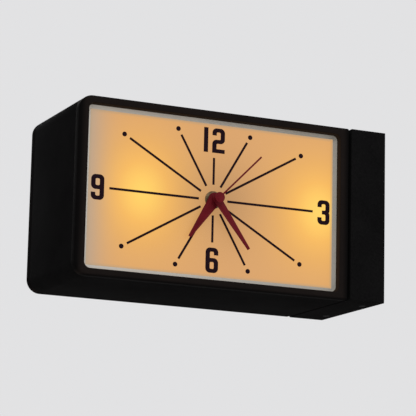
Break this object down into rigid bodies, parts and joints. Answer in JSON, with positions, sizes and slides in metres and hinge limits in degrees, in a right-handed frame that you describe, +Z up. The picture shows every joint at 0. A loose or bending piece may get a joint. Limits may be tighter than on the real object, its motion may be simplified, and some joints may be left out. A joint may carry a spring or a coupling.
{
  "type": "double-sided wall clock",
  "caption": "Lit rectangular clock box with a dial, moving hands and pull-off face on both sides, carried by a stem on a wall block.",
  "frame": {"origin": "middle of the wall plate's back face, which lies on the wall", "axes": "+X into the wall, the front dial looks along -Y, +Z up"},
  "size_m": [0.3795, 0.172, 0.2],
  "materials": {
    "case_black": "fine textured black paint",
    "bezel_black": "satin black moulding",
    "surround_white": "matt white moulding",
    "dial_opal": "opal acrylic, lit warm from behind",
    "print_black": "screen-printed black",
    "hand_red": "crimson painted sheet",
    "nut_brass": "dull brass",
    "pipe_brass": "turned brass",
    "movement_black": "moulded case",
    "battery_can": "painted can",
    "contact_steel": "spring steel",
    "coil_copper": "enamelled copper winding",
    "gear_plastic": "natural acetal",
    "plate_steel": "zinc-plated steel",
    "screw_black": "blackened steel",
    "rubber_black": "black rubber",
    "holder_white": "white moulding",
    "rail_white": "white painted sheet",
    "bulb_glass": "frosted warm glass",
    "lead_white": "white sheath"
  },
  "bodies": {
    "case": {"case_shell": "case_black", "wall_plate": "plate_steel", "wall_block": "case_black", "block_screws": "screw_black", "stem": "plate_steel", "stem_spacer": "rubber_black", "stem_washer": "plate_steel", "stem_nut": "plate_steel", "cable_grommet": "rubber_black", "cable_sleeve": "rubber_black", "terminal_block": "holder_white", "lamp_rail": "rail_white", "lamp_holder_left": "holder_white", "lamp_holder_right": "holder_white", "lamp_left_bulb": "bulb_glass", "lamp_right_bulb": "bulb_glass", "lamp_lead_left": "lead_white", "lamp_lead_right": "lead_white"},
    "front_face": {"front_bezel": "bezel_black", "front_dial_surround": "surround_white", "front_dial": "dial_opal", "front_dial_markings": "print_black", "front_dial_retainer": "surround_white", "front_dial_washer": "nut_brass", "front_dial_nut": "nut_brass", "front_movement_case": "movement_black", "front_movement_cover": "movement_black", "front_battery": "battery_can", "front_battery_contacts": "contact_steel", "front_coil": "coil_copper"},
    "front_minute": {"front_minute_hand": "hand_red", "front_minute_pipe": "pipe_brass"},
    "front_hour": {"front_hour_hand": "hand_red", "front_hour_wheel": "gear_plastic"},
    "front_second": {"front_second_hand": "hand_red", "front_second_arbor": "contact_steel"},
    "front_motion": {"front_motion_wheel": "gear_plastic", "front_set_knob": "gear_plastic"},
    "front_third": {"front_third_wheel": "gear_plastic"},
    "rear_face": {"rear_bezel": "bezel_black", "rear_dial_surround": "surround_white", "rear_dial": "dial_opal", "rear_dial_markings": "print_black", "rear_dial_retainer": "surround_white", "rear_dial_washer": "nut_brass", "rear_dial_nut": "nut_brass", "rear_movement_case": "movement_black", "rear_movement_cover": "movement_black", "rear_battery": "battery_can", "rear_battery_contacts": "contact_steel", "rear_coil": "coil_copper"},
    "rear_minute": {"rear_minute_hand": "hand_red", "rear_minute_pipe": "pipe_brass"},
    "rear_hour": {"rear_hour_hand": "hand_red", "rear_hour_wheel": "gear_plastic"},
    "rear_second": {"rear_second_hand": "hand_red", "rear_second_arbor": "contact_steel"},
    "rear_motion": {"rear_motion_wheel": "gear_plastic", "rear_set_knob": "gear_plastic"},
    "rear_third": {"rear_third_wheel": "gear_plastic"}
  },
  "joints": [
    {"name": "front_face_pull", "type": "slide", "parent": "case", "child": "front_face", "axis": [0, -1, 0], "range_m": [0, 0.06]},
    {"name": "front_minute_turn", "type": "hinge", "parent": "front_face", "child": "front_minute", "pos_m": [-0.213, -0.067, 0], "axis": [0, 1, 0], "continuous": true},
    {"name": "front_hour_turn", "type": "hinge", "parent": "front_face", "child": "front_hour", "pos_m": [-0.213, -0.067, 0], "axis": [0, 1, 0], "continuous": true},
    {"name": "front_second_turn", "type": "hinge", "parent": "front_face", "child": "front_second", "pos_m": [-0.213, -0.067, 0], "axis": [0, 1, 0], "continuous": true},
    {"name": "front_motion_turn", "type": "hinge", "parent": "front_face", "child": "front_motion", "pos_m": [-0.203, -0.067, 0], "axis": [0, 1, 0], "continuous": true},
    {"name": "front_third_turn", "type": "hinge", "parent": "front_face", "child": "front_third", "pos_m": [-0.22218, -0.067, 0], "axis": [0, 1, 0], "continuous": true},
    {"name": "rear_face_pull", "type": "slide", "parent": "case", "child": "rear_face", "axis": [0, 1, 0], "range_m": [0, 0.06]},
    {"name": "rear_minute_turn", "type": "hinge", "parent": "rear_face", "child": "rear_minute", "pos_m": [-0.213, 0.067, 0], "axis": [0, -1, 0], "continuous": true},
    {"name": "rear_hour_turn", "type": "hinge", "parent": "rear_face", "child": "rear_hour", "pos_m": [-0.213, 0.067, 0], "axis": [0, -1, 0], "continuous": true},
    {"name": "rear_second_turn", "type": "hinge", "parent": "rear_face", "child": "rear_second", "pos_m": [-0.213, 0.067, 0], "axis": [0, -1, 0], "continuous": true},
    {"name": "rear_motion_turn", "type": "hinge", "parent": "rear_face", "child": "rear_motion", "pos_m": [-0.223, 0.067, 0], "axis": [0, -1, 0], "continuous": true},
    {"name": "rear_third_turn", "type": "hinge", "parent": "rear_face", "child": "rear_third", "pos_m": [-0.20382, 0.067, 0], "axis": [0, -1, 0], "continuous": true}
  ],
  "couplings": [
    {"joint": "front_hour_turn", "follows": "front_minute_turn", "ratio": 0.083333},
    {"joint": "front_second_turn", "follows": "front_minute_turn", "ratio": 60},
    {"joint": "front_motion_turn", "follows": "front_minute_turn", "ratio": -0.33333},
    {"joint": "front_third_turn", "follows": "front_minute_turn", "ratio": -8},
    {"joint": "rear_hour_turn", "follows": "rear_minute_turn", "ratio": 0.083333},
    {"joint": "rear_second_turn", "follows": "rear_minute_turn", "ratio": 60},
    {"joint": "rear_motion_turn", "follows": "rear_minute_turn", "ratio": -0.33333},
    {"joint": "rear_third_turn", "follows": "rear_minute_turn", "ratio": -8}
  ]
}
